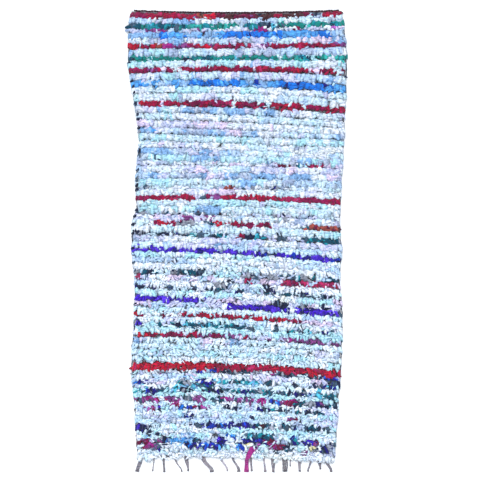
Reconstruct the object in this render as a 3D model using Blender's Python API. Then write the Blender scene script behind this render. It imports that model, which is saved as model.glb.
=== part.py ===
"""Boucherouite rug lying flat: rag strips knotted in rows on a woven ground, with a fringe of warp ends.

Metres, +Z up. +Y runs to the plain end, the fringe is at -Y, and the origin is on the floor under the middle.
The ground and its pile are one cloth, so they are one solid: a lumpy slab, with a ridge for each row of
knots and a lock where each row ends at a side. The fringe is a narrow strip with its locks fused to it.
"""

import random
from collections import namedtuple

import bmesh
import bpy
import numpy as np
from mathutils import Vector, noise

TOTAL_LENGTH = 2.290  # from the plain end to the longest fringe end
HALF_WIDTH = 0.545  # to the widest lock on either side
PLAIN_END_Y = TOTAL_LENGTH / 2

# Where the sides lie, measured out from the long axis, at distances from the plain end.
SIDE_COLUMNS = ("from_end", "left", "right")
SIDES = (
    (0.00, 0.525, 0.515),
    (0.06, 0.540, 0.530),
    (0.22, 0.545, 0.545),
    (0.28, 0.544, 0.545),
    (0.36, 0.530, 0.543),
    (0.54, 0.500, 0.533),
    (0.65, 0.490, 0.530),
    (0.85, 0.508, 0.516),
    (0.97, 0.502, 0.512),
    (1.06, 0.525, 0.508),
    (1.18, 0.528, 0.520),
    (1.34, 0.512, 0.508),
    (1.50, 0.514, 0.523),
    (1.76, 0.530, 0.518),
    (1.90, 0.520, 0.505),
    (2.04, 0.508, 0.498),
    (2.24, 0.498, 0.482),
)

# Where a row of knots crosses the left side, the middle and the right side, as distances from the plain end.
# Rows are counted from that end and evenly spread between these. The rug ends half a row past its last one.
ROW_COLUMNS = ("row", "left", "middle", "right")
ROWS = (
    (-0.5, 0.000, 0.011, 0.000),
    (0.0, 0.020, 0.028, 0.014),
    (2.0, 0.080, 0.071, 0.059),
    (4.0, 0.122, 0.121, 0.117),
    (7.0, 0.210, 0.206, 0.202),
    (10.0, 0.303, 0.292, 0.312),
    (12.0, 0.372, 0.367, 0.403),
    (14.0, 0.435, 0.433, 0.462),
    (16.0, 0.494, 0.509, 0.540),
    (19.0, 0.598, 0.616, 0.632),
    (21.0, 0.665, 0.683, 0.701),
    (24.0, 0.760, 0.762, 0.775),
    (27.0, 0.851, 0.854, 0.865),
    (30.0, 0.931, 0.925, 0.953),
    (32.0, 0.980, 0.990, 1.003),
    (35.0, 1.047, 1.055, 1.082),
    (37.0, 1.104, 1.124, 1.154),
    (40.0, 1.180, 1.198, 1.243),
    (43.0, 1.263, 1.278, 1.305),
    (45.0, 1.320, 1.344, 1.372),
    (47.0, 1.364, 1.389, 1.421),
    (50.0, 1.458, 1.473, 1.508),
    (52.0, 1.505, 1.520, 1.565),
    (55.0, 1.577, 1.591, 1.627),
    (58.0, 1.667, 1.679, 1.714),
    (60.0, 1.736, 1.738, 1.771),
    (61.0, 1.770, 1.766, 1.808),
    (64.0, 1.840, 1.842, 1.870),
    (68.0, 1.927, 1.927, 1.964),
    (72.0, 2.013, 2.011, 2.033),
    (74.0, 2.068, 2.053, 2.083),
    (77.0, 2.137, 2.135, 2.152),
    (80.0, 2.212, 2.209, 2.226),
    (80.5, 2.224, 2.221, 2.238),
)
ROW_COUNT = 81
LAST_EDGE = ROW_COUNT - 0.5

# One row's ridge, leaning towards the fringe: how far each line lies from the row, in rows, and its height.
RIDGE_COLUMNS = ("offset", "height")
RIDGE = ((-0.5, 0.0125), (-0.08, 0.0215), (0.27, 0.0245))
FOOT, BROW, TIP = range(len(RIDGE))  # the lines of a ridge
FLAT_ROWS = 2  # the last rows lie lower, down to the fringe
FLAT_SHARE = 0.62  # of a ridge's height
END_HEIGHT = 0.009  # of the pile at the plain end and above the fringe

COLUMNS = 18  # of the slab's grid, from side to side
LUMP_HEIGHT = 0.005
LUMP_DRIFT = 0.006  # along the rug
LUMP_PITCH = 0.065
SEED = 11

LOCK_REACH = 0.013  # from the slab's side to a lock's end
LOCK_SPREAD = 0.004  # longer or shorter
LOCK_HEIGHT = 0.007  # at its end, on the floor
LOCK_NARROWING = 0.45

GAP = 0.0003  # between the slab and the fringe's strip
STRIP_DEPTH = 0.008
STRIP_HEIGHT = 0.005
LOCK_STEPS = 5
TIP_HEIGHT = 0.003

# Fringe locks: the middle of the root and of the end, from the long axis, their widths, the distance that the
# lock bows sideways halfway, and how far short of the longest lock it ends.
Lock = namedtuple("Lock", "root end root_width end_width bow short")
LOCKS = (
    Lock(-0.482, -0.498, 0.024, 0.022, 0.002, 0.001),
    Lock(-0.414, -0.421, 0.008, 0.006, 0.001, 0.004),
    Lock(-0.367, -0.364, 0.015, 0.013, 0.001, 0.000),
    Lock(-0.310, -0.277, 0.013, 0.007, -0.002, 0.003),
    Lock(-0.255, -0.245, 0.024, 0.010, 0.001, 0.006),
    Lock(-0.172, -0.128, 0.026, 0.022, 0.004, 0.000),
    Lock(-0.084, -0.050, 0.012, 0.007, 0.004, 0.005),
    Lock(-0.025, 0.006, 0.012, 0.020, 0.006, 0.002),
    Lock(0.042, 0.046, 0.024, 0.021, -0.001, 0.000),
    Lock(0.067, 0.071, 0.013, 0.012, 0.000, 0.004),
    Lock(0.131, 0.137, 0.012, 0.012, 0.001, 0.001),
    Lock(0.176, 0.178, 0.017, 0.015, -0.001, 0.000),
    Lock(0.235, 0.236, 0.030, 0.027, 0.001, 0.002),
    Lock(0.265, 0.262, 0.008, 0.006, -0.002, 0.028),
    Lock(0.310, 0.309, 0.018, 0.009, -0.002, 0.003),
    Lock(0.364, 0.351, 0.010, 0.006, 0.002, 0.006),
    Lock(0.399, 0.410, 0.018, 0.009, -0.002, 0.018),
    Lock(0.438, 0.462, 0.018, 0.010, 0.002, 0.001),
)

PILE_COLOUR = (0.62, 0.78, 0.88, 1.0)
PILE_ROUGHNESS = 0.95
WARP_COLOUR = (0.36, 0.33, 0.33, 1.0)
WARP_ROUGHNESS = 0.9

Line = namedtuple("Line", "row height kind")


def read_table(table, names, key, wanted):
    """The wanted column of a table, at a value of its first column."""
    column = names.index(wanted)
    return float(np.interp(key, [row[0] for row in table], [row[column] for row in table]))


def row_from_end(row, across):
    """How far from the plain end a row lies, at a place across the rug: 0 is its left side and 1 its right."""
    left, middle, right = (read_table(ROWS, ROW_COLUMNS, row, name) for name in ROW_COLUMNS[1:])
    side = 2 * across - 1
    return middle + side * (right - left) / 2 + side * side * ((left + right) / 2 - middle)


def lump(point, layer):
    """Smooth noise between -1 and 1. Each layer has a pattern of its own."""
    return noise.noise(Vector((point.x, point.y, 0.0)) / LUMP_PITCH + Vector((0.0, 0.0, SEED * layer)))


def on_rug(row, across):
    """A point of the slab's plan. Its sides lie a lock's reach inside the rug's, and its rows waver."""
    from_end = row_from_end(row, across)
    left = LOCK_REACH - read_table(SIDES, SIDE_COLUMNS, from_end, "left")
    right = read_table(SIDES, SIDE_COLUMNS, from_end, "right") - LOCK_REACH
    point = Vector((left + across * (right - left), PLAIN_END_Y - from_end, 0.0))
    if row < 0:
        point.y -= LUMP_DRIFT * abs(lump(point, 2)) * min(across, 1 - across) * 2
    elif 0 < across < 1:
        point.y += LUMP_DRIFT * lump(point, 2)
    return point


def slab_lines():
    """The lines across the slab's top, from the plain end to the fringe: three for each row, and the edge."""
    lines = []
    for row in range(ROW_COUNT):
        share = FLAT_SHARE if row >= ROW_COUNT - FLAT_ROWS else 1.0
        lines += [Line(row + offset, height * share, kind) for kind, (offset, height) in enumerate(RIDGE)]
    lines[0] = lines[0]._replace(height=END_HEIGHT)
    lines.append(Line(LAST_EDGE, END_HEIGHT, FOOT))
    return lines


def top_point(line, across, at_end):
    """A point of the pile's top. Its lumps stop at the rug's two ends."""
    point = on_rug(line.row, across)
    point.z = line.height
    if not at_end:
        point.z += LUMP_HEIGHT * (line.kind + 1) / len(RIDGE) * lump(point, 1)
    return point


def flat_grid(bm, columns, lines):
    """Adds a grid and gives the number of the line and of the column of each of its vertices."""
    bmesh.ops.create_grid(bm, x_segments=columns, y_segments=lines, size=0.5)
    return {vert: (round((0.5 - vert.co.y) * lines), round((vert.co.x + 0.5) * columns)) for vert in bm.verts}


def close_to_floor(bm):
    """Makes a solid of an open top surface: walls straight down, and a flat underside."""
    tops = set(bm.verts)
    bmesh.ops.extrude_face_region(bm, geom=list(bm.faces))
    base = [vert for vert in bm.verts if vert not in tops]
    for vert in base:
        vert.co.z = 0.0
    bmesh.ops.dissolve_faces(bm, faces=[face for face in bm.faces if tops.isdisjoint(face.verts)])
    bmesh.ops.recalc_face_normals(bm, faces=bm.faces)


def grow_side_lock(bm, wall, chance):
    """Draws the end of a ridge out from the slab's side, to a short tapering lock that lies on the floor."""
    lock = bmesh.ops.extrude_discrete_faces(bm, faces=[wall])["faces"][0]
    centre = lock.calc_center_median()
    reach = LOCK_REACH + chance.uniform(-LOCK_SPREAD, LOCK_SPREAD)
    drift = chance.uniform(-LOCK_SPREAD, LOCK_SPREAD)
    for vert in lock.verts:
        vert.co.x = np.copysign(min(abs(vert.co.x) + reach, HALF_WIDTH), centre.x)
        vert.co.y = centre.y + (vert.co.y - centre.y) * LOCK_NARROWING + drift
        vert.co.z = min(vert.co.z, LOCK_HEIGHT)


def make_pile():
    """The ground and its rag pile as one closed slab, flat underneath."""
    bm = bmesh.new()
    lines = slab_lines()
    last = len(lines) - 1
    place = flat_grid(bm, COLUMNS, last)
    for vert, (number, column) in place.items():
        vert.co = top_point(lines[number], column / COLUMNS, number in (0, last))
    close_to_floor(bm)
    walls = []
    for face in bm.faces:
        numbers = sorted(place[vert][0] for vert in face.verts if vert in place)
        if len(numbers) == 2 and [lines[number].kind for number in numbers] == [BROW, TIP]:
            walls.append(face)
    chance = random.Random(SEED)
    for wall in walls:
        grow_side_lock(bm, wall, chance)
    return bm


def strip_stations(edge_x):
    """Where the strip is divided along its length: at the slab's own points, and at both sides of each lock."""
    stations = set(edge_x)
    for lock in LOCKS:
        sides = (lock.root - lock.root_width / 2, lock.root + lock.root_width / 2)
        stations = {x for x in stations if not sides[0] < x < sides[1]}
        stations.update(sides)
    return sorted(stations)


def grow_fringe_lock(bm, face, lock):
    """Draws one face of the strip's outer side out along a lock, step by step, with its underside level."""
    root = face.calc_center_median()
    middle = root.x
    for step in range(1, LOCK_STEPS + 1):
        share = step / LOCK_STEPS
        ease = share * share * (3 - 2 * share)
        next_middle = lock.root + (lock.end - lock.root) * ease + 4 * lock.bow * share * (1 - share)
        half = (lock.root_width + (lock.end_width - lock.root_width) * share) / 2
        y = root.y + (lock.short - TOTAL_LENGTH / 2 - root.y) * share
        height = STRIP_HEIGHT + (TIP_HEIGHT - STRIP_HEIGHT) * share
        face = bmesh.ops.extrude_discrete_faces(bm, faces=[face])["faces"][0]
        for vert in face.verts:
            x = next_middle + np.copysign(half, vert.co.x - middle)
            vert.co = Vector((x, y, height if vert.co.z > 0 else 0.0))
        middle = next_middle


def make_fringe():
    """The strip that follows the slab's edge, and the locks fused to its outer side."""
    edge = [on_rug(LAST_EDGE, column / COLUMNS) for column in range(COLUMNS + 1)]
    edge_x = [point.x for point in edge]
    edge_y = [point.y - GAP for point in edge]
    stations = strip_stations(edge_x)
    bm = bmesh.new()
    for vert, (line, column) in flat_grid(bm, len(stations) - 1, 1).items():
        x = stations[column]
        vert.co = Vector((x, float(np.interp(x, edge_x, edge_y)) - STRIP_DEPTH * line, STRIP_HEIGHT))
    close_to_floor(bm)
    roots = []
    for face in bm.faces:
        centre = face.calc_center_median()
        for lock in LOCKS:
            if face.normal.y < -0.5 and abs(centre.x - lock.root) < GAP:
                roots.append((face, lock))
    for face, lock in roots:
        grow_fringe_lock(bm, face, lock)
    return bm


def cloth_material(name, colour, roughness):
    material = bpy.data.materials.new(name)
    material.use_nodes = True
    shader = material.node_tree.nodes["Principled BSDF"]
    shader.inputs["Base Color"].default_value = colour
    shader.inputs["Roughness"].default_value = roughness
    shader.inputs["Metallic"].default_value = 0.0
    return material


def add_piece(name, bm, material, collection):
    bmesh.ops.triangulate(bm, faces=bm.faces)
    mesh = bpy.data.meshes.new(name)
    bm.to_mesh(mesh)
    bm.free()
    mesh.materials.append(material)
    collection.objects.link(bpy.data.objects.new(name, mesh))


def main():
    for old in list(bpy.data.objects):
        bpy.data.objects.remove(old)
    rug = bpy.data.collections.new("boucherouite_rug")
    bpy.context.scene.collection.children.link(rug)
    add_piece("rug_pile", make_pile(), cloth_material("rag_pile", PILE_COLOUR, PILE_ROUGHNESS), rug)
    add_piece("warp_fringe", make_fringe(), cloth_material("warp_yarn", WARP_COLOUR, WARP_ROUGHNESS), rug)


main()
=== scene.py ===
import math

import bpy
import numpy as np
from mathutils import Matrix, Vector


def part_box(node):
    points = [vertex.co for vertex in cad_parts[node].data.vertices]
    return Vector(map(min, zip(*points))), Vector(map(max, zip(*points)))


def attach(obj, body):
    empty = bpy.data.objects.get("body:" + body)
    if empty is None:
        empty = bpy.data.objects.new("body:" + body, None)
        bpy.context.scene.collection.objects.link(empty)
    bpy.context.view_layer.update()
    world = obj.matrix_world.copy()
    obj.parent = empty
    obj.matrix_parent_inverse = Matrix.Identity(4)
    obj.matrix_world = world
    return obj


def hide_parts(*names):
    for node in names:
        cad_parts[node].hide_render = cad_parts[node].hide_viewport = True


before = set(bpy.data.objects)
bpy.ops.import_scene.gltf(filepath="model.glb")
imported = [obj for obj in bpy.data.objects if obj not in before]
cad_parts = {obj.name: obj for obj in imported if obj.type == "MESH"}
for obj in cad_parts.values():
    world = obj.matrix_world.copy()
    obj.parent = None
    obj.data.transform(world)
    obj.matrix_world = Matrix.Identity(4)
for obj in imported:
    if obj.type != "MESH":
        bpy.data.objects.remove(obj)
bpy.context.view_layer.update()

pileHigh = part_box("rug_pile")[1]
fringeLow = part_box("warp_fringe")[0]
plainEndY = pileHigh[1]
chance = np.random.default_rng(29)

# where the rug's sides lie: from the plain end, out to the left, out to the right
sides = np.array((
    (0.00, 0.525, 0.515), (0.06, 0.540, 0.530), (0.22, 0.545, 0.545), (0.28, 0.544, 0.545),
    (0.36, 0.530, 0.543), (0.54, 0.500, 0.533), (0.65, 0.490, 0.530), (0.85, 0.508, 0.516),
    (0.97, 0.502, 0.512), (1.06, 0.525, 0.508), (1.18, 0.528, 0.520), (1.34, 0.512, 0.508),
    (1.50, 0.514, 0.523), (1.76, 0.530, 0.518), (1.90, 0.520, 0.505), (2.04, 0.508, 0.498),
    (2.24, 0.498, 0.482),
))

# where a row of knots crosses the left side, the middle and the right side, from the plain end
rowLines = np.array((
    (-0.5, 0.000, 0.011, 0.000), (0, 0.020, 0.028, 0.014), (2, 0.080, 0.071, 0.059),
    (4, 0.122, 0.121, 0.117), (7, 0.210, 0.206, 0.202), (10, 0.303, 0.292, 0.312),
    (12, 0.372, 0.367, 0.403), (14, 0.435, 0.433, 0.462), (16, 0.494, 0.509, 0.540),
    (19, 0.598, 0.616, 0.632), (21, 0.665, 0.683, 0.701), (24, 0.760, 0.762, 0.775),
    (27, 0.851, 0.854, 0.865), (30, 0.931, 0.925, 0.953), (32, 0.980, 0.990, 1.003),
    (35, 1.047, 1.055, 1.082), (37, 1.104, 1.124, 1.154), (40, 1.180, 1.198, 1.243),
    (43, 1.263, 1.278, 1.305), (45, 1.320, 1.344, 1.372), (47, 1.364, 1.389, 1.421),
    (50, 1.458, 1.473, 1.508), (52, 1.505, 1.520, 1.565), (55, 1.577, 1.591, 1.627),
    (58, 1.667, 1.679, 1.714), (60, 1.736, 1.738, 1.771), (61, 1.770, 1.766, 1.808),
    (64, 1.840, 1.842, 1.870), (68, 1.927, 1.927, 1.964), (72, 2.013, 2.011, 2.033),
    (74, 2.068, 2.053, 2.083), (77, 2.137, 2.135, 2.152), (80, 2.212, 2.209, 2.226),
    (80.5, 2.224, 2.221, 2.238),
))
rowCount = 81
lastEdge = rowCount - 0.5
rowPitch = 0.0275

# the dyes of the rags, as seen in daylight
dyes = {
    "white": (234, 239, 246), "cream": (240, 242, 236), "ice": (208, 232, 242), "aqua": (176, 226, 234),
    "cyan": (84, 182, 208), "paleBlue": (184, 212, 240), "skyBlue": (82, 158, 224),
    "lavender": (206, 206, 238), "greyBlue": (164, 180, 208), "grey": (142, 146, 158),
    "pink": (196, 84, 136), "palePink": (220, 202, 228), "red": (182, 14, 48), "crimson": (148, 10, 56),
    "berry": (132, 16, 70), "maroon": (102, 14, 54), "rose": (166, 34, 84), "slate": (64, 86, 106),
    "rust": (150, 70, 62), "brown": (74, 34, 40), "tan": (206, 198, 150), "green": (18, 128, 120),
    "paleGreen": (46, 162, 154), "teal": (22, 130, 144), "darkTeal": (10, 76, 98), "blue": (26, 112, 208),
    "deepBlue": (24, 56, 170), "navy": (26, 22, 112), "ink": (22, 32, 62), "purple": (62, 24, 180),
    "violet": (86, 50, 206), "mauve": (126, 62, 124), "magenta": (152, 32, 120), "orchid": (178, 92, 178),
    "mistBlue": (132, 172, 214), "fuchsia": (158, 54, 120),
}

paleDyes = ("white", "ice", "aqua", "paleBlue", "lavender", "greyBlue", "cream")

# what a row of rags is picked from, with how often
blends = {
    "whites": {"white": 6, "ice": 2.4, "lavender": 1.4, "paleBlue": 0.8, "greyBlue": 0.3},
    "ices": {"ice": 5, "white": 3, "aqua": 1.2, "paleBlue": 0.5, "greyBlue": 0.35},
    "aquas": {"aqua": 4, "ice": 4, "white": 1.5, "greyBlue": 0.25},
    "paleBlues": {"paleBlue": 4, "ice": 2, "white": 1.2, "lavender": 1.2, "greyBlue": 0.9, "mistBlue": 0.6},
    "frosts": {"ice": 3, "paleBlue": 3, "aqua": 1.4, "white": 1, "mistBlue": 1, "greyBlue": 0.8,
               "lavender": 1},
    "lavenders": {"lavender": 4, "white": 3, "paleBlue": 1.5, "palePink": 0.8},
    "creams": {"white": 6, "cream": 3, "ice": 2},
    "pinks": {"palePink": 3, "lavender": 3, "white": 4, "grey": 0.3},
    "greyBlues": {"greyBlue": 3, "lavender": 3, "ice": 2, "white": 1.5},
    "paleFlecked": {"white": 5, "ice": 2, "greyBlue": 1.6, "lavender": 1, "grey": 0.5},
    "flecked": {"white": 5, "ice": 2, "grey": 0.8, "ink": 0.7, "greyBlue": 1},
    "darkFlecked": {"white": 3, "greyBlue": 2, "grey": 1.5, "ink": 1.2, "slate": 1.4, "brown": 0.6,
                    "mauve": 0.4},
    "smokes": {"grey": 2, "greyBlue": 3, "slate": 2, "ink": 0.8, "lavender": 1.5},
    "reds": {"red": 5, "crimson": 2, "rose": 0.6},
    "crimsons": {"crimson": 5, "berry": 2.2, "red": 0.8, "maroon": 0.7, "rose": 0.8, "palePink": 0.25},
    "browns": {"brown": 3, "rust": 1.6, "maroon": 1},
    "greens": {"green": 5, "teal": 1.6, "paleGreen": 1.6, "darkTeal": 0.2},
    "blues": {"blue": 5, "skyBlue": 3, "deepBlue": 0.5, "mistBlue": 0.4},
    "skyBlues": {"skyBlue": 5, "mistBlue": 2, "paleBlue": 0.8, "blue": 0.7},
    "mistBlues": {"mistBlue": 5, "paleBlue": 1.6, "greyBlue": 1.2, "skyBlue": 0.15},
    "violets": {"magenta": 2.5, "berry": 2, "lavender": 3, "mauve": 2, "orchid": 1},
    "purples": {"purple": 5, "violet": 3, "navy": 0.7},
    "teals": {"darkTeal": 3, "teal": 2, "slate": 1.5, "ink": 0.8, "cyan": 0.4, "aqua": 0.7},
    "inks": {"ink": 3, "slate": 3, "darkTeal": 1, "grey": 1.2, "ice": 0.9},
    "navies": {"navy": 4, "ink": 1.4, "deepBlue": 1.8},
    "mauves": {"mauve": 3.5, "magenta": 0.5, "lavender": 1, "berry": 0.7, "slate": 0.4},
    "magentas": {"magenta": 3, "mauve": 2, "orchid": 1.5, "ink": 0.8},
}

# what else a strong rag may be where the pile is mixed
kin = {
    "ink": ("slate", "navy", "grey"), "slate": ("ink", "greyBlue", "darkTeal"),
    "navy": ("ink", "deepBlue", "purple"), "darkTeal": ("teal", "slate", "ink"),
    "teal": ("darkTeal", "cyan", "slate"), "maroon": ("berry", "mauve"),
    "magenta": ("mauve", "orchid", "berry"), "orchid": ("magenta", "lavender", "palePink"),
    "mauve": ("magenta", "slate", "lavender"), "blue": ("deepBlue", "skyBlue", "navy"),
    "deepBlue": ("navy", "blue", "ink"), "red": ("crimson", "rose"), "crimson": ("red", "berry", "rose"),
    "rose": ("crimson", "berry", "pink"), "berry": ("crimson", "maroon", "rose"),
    "purple": ("navy", "violet"), "violet": ("purple", "lavender"), "tan": ("white", "grey", "cream"),
    "green": ("teal", "paleGreen"), "paleGreen": ("teal", "green"), "cyan": ("teal", "mistBlue", "aqua"),
    "pink": ("rose", "palePink", "orchid"), "brown": ("maroon", "ink"), "rust": ("brown", "maroon"),
    "skyBlue": ("mistBlue", "blue"), "mistBlue": ("paleBlue", "greyBlue", "lavender"),
}

# these are frizzy: each knot is of another rag than the one before
frizzyBlends = ("inks", "teals", "smokes", "flecked", "darkFlecked", "magentas")

# the rows in turn from the plain end: what each is knotted in, its long stretches in other rags, with where
# each starts and ends across the rug in centimetres from the long axis, its short stretches, with the per
# cent of the rest of the row that each kind takes up, and about how many centimetres long those are
rowStripes = (
    ("browns", "crimsons -45 -25", "crimsons 45, smokes 4, pinks 2", 5),
    ("paleBlues", "ices 20 45", "greyBlues 10, ices 9, pinks 4", 6),
    ("greens", "", "teals 35, aquas 4, ices 2", 4),
    ("violets", "lavenders 15 30", "lavenders 35, crimsons 10, mauves 8, navies 2", 6),
    ("blues", "", "skyBlues 30, mistBlues 8", 8),
    ("greyBlues", "paleBlues 10 30", "mistBlues 30, pinks 15, paleBlues 15, lavenders 9", 9),
    ("crimsons", "", "mauves 20, violets 10, rust 6, reds 4", 5),
    ("frosts", "", "pinks 15, paleBlues 7, lavenders 5, greyBlues 3", 5),
    ("greens", "", "teals 20, aquas 7", 4),
    ("aquas", "", "paleBlues 15", 8),
    ("crimsons", "", "mauves 6, pinks 5, magentas 5, ices 2", 3),
    ("frosts", "", "lavenders 15, mistBlues 15, paleBlues 10, greyBlues 6", 8),
    ("skyBlues", "blues -15 5", "blues 35, mistBlues 7", 7),
    ("ices", "whites 10 30", "pinks 10, paleBlues 10", 9),
    ("ices", "whites -30 -10", "paleBlues 15, greyBlues 6", 4),
    ("crimsons", "", "whites 10, inks 6, pinks 3", 3),
    ("mistBlues", "greyBlues 20 55", "aquas 15, lavenders 15, greyBlues 4", 6),
    ("ices", "creams -35 -10", "paleBlues 15, creams 15", 10),
    ("pinks", "lavenders 0 15, whites 30 55", "lavenders 15, paleBlues 10", 7),
    ("mistBlues", "greyBlues 10 30, paleBlues 35 50", "greyBlues 15, ices 10, lavenders 8, pinks 7", 5),
    ("aquas", "", "ices 6, mistBlues 5", 6),
    ("paleFlecked", "lavenders -45 -25, creams -10 5, creams 40 55", "", 0),
    ("paleBlues", "ices 5 55", "mistBlues 20, lavenders 10, greyBlues 5", 6),
    ("aquas", "", "mistBlues 10, greyBlues 10, slate 2", 3),
    ("pinks", "paleFlecked -40 -15, maroon 20 25, inks 30 35, crimsons 35 45", "greyBlues 15", 4),
    ("lavenders", "whites -45 -30, whites -15 0, pinks 10 30", "", 0),
    ("mistBlues", "greyBlues -40 -20", "lavenders 20, pinks 7, greyBlues 3", 6),
    ("aquas", "ices -30 -10, paleBlues 25 55", "mistBlues 10", 6),
    ("paleFlecked", "paleBlues 30 55", "smokes 25, inks 7, rust 6, whites 5", 4),
    ("whites", "", "pinks 10, ices 6", 6),
    ("crimsons", "", "reds 6, mauves 3", 4),
    ("aquas", "", "mistBlues 15, greyBlues 8, teals 4", 5),
    ("ices", "aquas -45 -20, aquas 20 40", "mistBlues 15", 8),
    ("darkFlecked", "smokes -50 -35, smokes 20 40", "ices 15, inks 10", 6),
    ("pinks", "whites -10 20, lavenders 40 55", "smokes 10, mauves 3", 4),
    ("whites", "crimsons -5 15, rust 35 50", "crimsons 30, inks 10, mauves 6, reds 4", 4),
    ("aquas", "ices -30 0", "", 0),
    ("teals", "inks -50 -25", "greyBlues 20, inks 20, crimsons 3", 5),
    ("lavenders", "whites -45 -20, creams 15 30", "greyBlues 15", 10),
    ("paleBlues", "lavenders -30 -10", "greyBlues 15, mistBlues 10", 11),
    ("purples", "", "navies 20, ices 5", 3),
    ("ices", "aquas -20 10, creams 15 30", "", 0),
    ("paleBlues", "whites -10 30", "smokes 5", 3),
    ("creams", "ices -10 10", "", 0),
    ("ices", "smokes 0 25", "inks 50, browns 2", 6),
    ("pinks", "", "rose 20, maroon 8, lavenders 10, smokes 8, mauves 8", 3),
    ("whites", "flecked -20 20", "smokes 5", 3),
    ("ices", "inks 10 35", "inks 50, smokes 7, greyBlues 4, mauves 4", 4),
    ("aquas", "", "creams 10, inks 10, smokes 6, pinks 6", 5),
    ("pinks", "purples -50 -15", "inks 15", 3),
    ("lavenders", "purples -5 25, purples 30 50", "cyan 7, inks 4", 3),
    ("ices", "", "", 0),
    ("whites", "crimsons -30 -5, reds -5 25", "crimsons 55, mauves 2", 4),
    ("whites", "ices -20 20", "", 0),
    ("aquas", "teals -20 10", "teals 35, inks 30, purples 4", 5),
    ("aquas", "", "", 0),
    ("lavenders", "crimsons -45 -20, mauves -20 0, mauves 10 50", "crimsons 30, pinks 30, mauves 15", 4),
    ("ices", "", "lavenders 15, mistBlues 10, paleBlues 8", 9),
    ("ices", "", "lavenders 7", 4),
    ("aquas", "", "", 0),
    ("ices", "creams -20 20", "", 0),
    ("reds", "", "crimson 15, rose 8", 8),
    ("darkFlecked", "inks -10 10, inks 20 45", "navies 20, teals 10", 4),
    ("pinks", "paleBlues -45 -25", "lavenders 15, inks 10, aquas 10", 8),
    ("whites", "pinks -45 -30", "teals 20, navies 15, inks 7, cyan 7", 5),
    ("ices", "", "teals 15, cyan 15, navies 5", 7),
    ("teals", "", "inks 20, navies 15, blues 5, cyan 4", 4),
    ("aquas", "", "", 0),
    ("mauves", "", "magentas 35, inks 30, lavenders 5, blues 4", 5),
    ("whites", "ices -20 10", "magentas 5", 4),
    ("frosts", "inks 15 35", "magentas 25, inks 15, navies 15, mauves 7", 6),
    ("ices", "", "", 0),
    ("frosts", "", "lavenders 15, navies 5, blues 4, mauves 4", 4),
    ("frosts", "", "paleBlues 7", 7),
    ("ices", "navies -15 0, inks 20 45", "inks 25, navies 25, blues 10, maroon 5, brown 3", 4),
    ("aquas", "", "navies 5, teals 6", 3),
    ("aquas", "teals 5 20", "mistBlues 15, inks 12, navies 15, blues 6, mauves 5", 4),
    ("paleBlues", "", "navies 20, teals 12, blues 12, maroon 6, mauves 5", 5),
    ("ices", "navies -25 -10", "navies 25, inks 20, blues 8, maroon 6, magentas 5, tan 3", 4),
    ("whites", "", "magentas 4, tan 4, inks 3", 3),
    ("creams", "", "", 0),
)

plainRows = (40, 49, 50, 52, 56, 61)  # these stay of one rag where the pile is mixed

# the share of its height that a row shows from above: the tips of the row before cover the rest
rowShow = {
    0: 1.00, 2: 0.74, 3: 0.50, 4: 1.00, 6: 0.72, 8: 0.50, 10: 0.68, 12: 0.74, 15: 0.62, 19: 0.80, 24: 0.56,
    28: 0.55, 30: 0.84, 33: 0.50, 35: 0.74, 37: 0.42, 40: 0.70, 44: 0.55, 45: 0.74, 47: 0.62, 49: 0.74,
    50: 0.92, 52: 0.70, 54: 0.72, 56: 0.62, 61: 1.00, 62: 0.58, 64: 0.95, 66: 1.05, 68: 1.15, 70: 0.92,
    72: 0.84, 74: 1.15, 76: 0.96, 78: 1.20,
}

# how much further than the rest the last row's rags hang at each place across the rug
lastRow = np.array((
    (-0.50, 0.000), (-0.47, 0.010), (-0.42, 0.004), (-0.40, -0.018), (-0.31, -0.018), (-0.27, -0.012),
    (-0.18, -0.012), (-0.14, -0.006), (-0.10, -0.007), (0.00, -0.010), (0.15, -0.004), (0.25, -0.006),
    (0.30, 0.000), (0.36, -0.005), (0.42, 0.000), (0.45, 0.010), (0.48, 0.003), (0.50, 0.000),
))

# which dyes go into which piece of the pile, and over how many stretches of the rug
ragFamilies = {
    "whiteRags": (3, "white"),
    "creamRags": (1, "cream", "palePink", "grey", "tan"),
    "iceRags": (2, "ice"),
    "aquaRags": (1, "aqua", "cyan"),
    "paleBlueRags": (1, "paleBlue", "greyBlue", "mistBlue", "skyBlue"),
    "lavenderRags": (1, "lavender"),
    "redRags": (1, "red", "crimson", "berry", "maroon", "rose", "pink", "rust", "brown"),
    "violetRags": (1, "purple", "violet", "mauve", "magenta", "orchid"),
    "darkRags": (1, "navy", "ink", "slate", "darkTeal"),
    "brightRags": (1, "green", "paleGreen", "teal", "blue", "deepBlue"),
}


def toLinear(rgb):
    part = np.asarray(rgb, dtype=float) / 255
    return np.where(part <= 0.04045, part / 12.92, ((part + 0.055) / 1.055) ** 2.4)


def waver(x, y, pitch, seed):
    # smooth noise between about -1 and 1
    turn = np.random.default_rng(seed)
    total = np.zeros(np.shape(x))
    for _ in range(6):
        angle, phase = turn.uniform(0, 2 * math.pi, 2)
        wave = 2 * math.pi / (pitch * turn.uniform(0.7, 1.6))
        total = total + np.sin(wave * (x * math.cos(angle) + y * math.sin(angle)) + phase)
    return total / 3


def ripple(x, pitch, seed):
    # smooth noise along a row, between about -1 and 1
    turn = np.random.default_rng(seed)
    total = np.zeros(np.shape(x))
    for _ in range(5):
        wave = 2 * math.pi / (pitch * turn.uniform(0.6, 1.9))
        total = total + np.sin(wave * x + turn.uniform(0, 2 * math.pi))
    return total / 2.4


def rowFromEnd(row, across):
    left, middle, right = (np.interp(row, rowLines[:, 0], rowLines[:, side]) for side in (1, 2, 3))
    side = 2 * across - 1
    return middle + side * (right - left) / 2 + side * side * ((left + right) / 2 - middle)


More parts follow.
